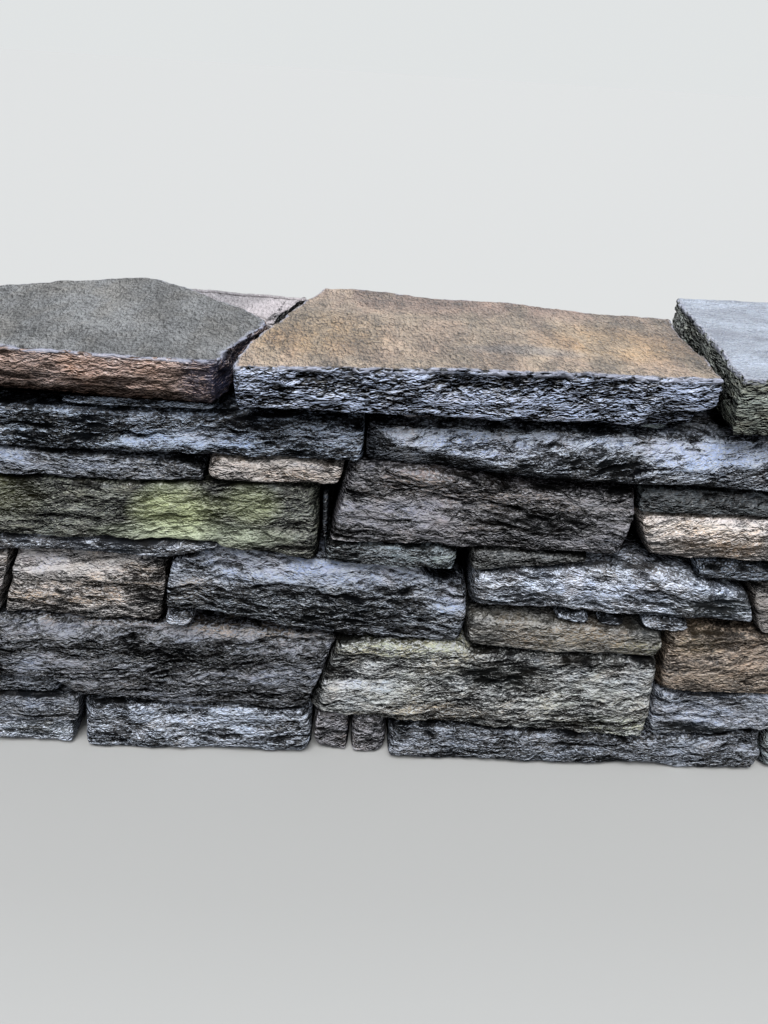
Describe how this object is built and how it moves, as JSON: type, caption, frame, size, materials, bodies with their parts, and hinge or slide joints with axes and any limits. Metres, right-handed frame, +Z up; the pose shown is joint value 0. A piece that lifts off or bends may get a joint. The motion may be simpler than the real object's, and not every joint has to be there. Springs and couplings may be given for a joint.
{
  "type": "dry stone wall",
  "caption": "Free-standing dry stone wall of flat schist with tapering faces, through stones at both ends and a coping of large slabs.",
  "frame": {"origin": "on the ground, at the middle of the wall's length and thickness", "axes": "+X along the wall, +Y away from the pictured face, +Z up"},
  "size_m": [2.12, 0.5498, 0.7663],
  "materials": {
    "schist_dark": "wet, split along its layers",
    "schist_warm": "wet, rusty brown to olive layers",
    "schist_moss": "wet, with a thin film of moss",
    "schist_pale": "wet, tan to pale pink",
    "coping_grey": "wet, split top and rusty broken edges",
    "coping_ochre": "wet, ochre split top and blue-black edges",
    "coping_blue": "wet, pale blue foliated top",
    "core_rubble": "small broken stone, packed"
  },
  "bodies": {
    "root": {"back_fifth_course": "schist_dark", "back_foot_course": "schist_dark", "back_fourth_course": "schist_dark", "back_second_course": "schist_dark", "back_third_course": "schist_dark", "coping_far_left_slab": "coping_grey", "coping_left_slab": "coping_grey", "coping_middle_slab": "coping_ochre", "coping_pinnings": "schist_dark", "coping_rear_fillers": "schist_pale", "coping_right_slab": "coping_blue", "core": "core_rubble", "front_banded_long_stone": "schist_warm", "front_big_purple_stone": "schist_warm", "front_big_slate": "schist_dark", "front_black_flake": "schist_dark", "front_blue_foot_stone": "schist_dark", "front_brown_strip_stone": "schist_warm", "front_bulging_stone": "schist_dark", "front_cream_stone": "schist_pale", "front_dark_ledge_stone": "schist_dark", "front_dark_strip_stone": "schist_dark", "front_dark_upper_stone": "schist_dark", "front_foot_ledge_stone": "schist_dark", "front_foot_long_stone": "schist_dark", "front_foot_packing": "schist_dark", "front_foot_slate_lower": "schist_dark", "front_foot_slate_upper": "schist_dark", "front_grey_band_stone": "schist_dark", "front_left_bay": "schist_dark", "front_long_black_stone": "schist_dark", "front_low_wedge": "schist_dark", "front_mossy_stone": "schist_moss", "front_olive_wedge": "schist_warm", "front_peach_stone": "schist_pale", "front_pink_stone": "schist_pale", "front_pinnings": "schist_dark", "front_right_bay": "schist_dark", "front_rusty_stone": "schist_warm", "front_tan_block": "schist_pale", "front_tapered_slate": "schist_dark", "front_thin_slab": "schist_moss", "front_thin_slate": "schist_dark", "front_upright_slate": "schist_dark", "left_end_ties": "schist_dark", "right_end_ties": "schist_dark"}
  },
  "joints": []
}
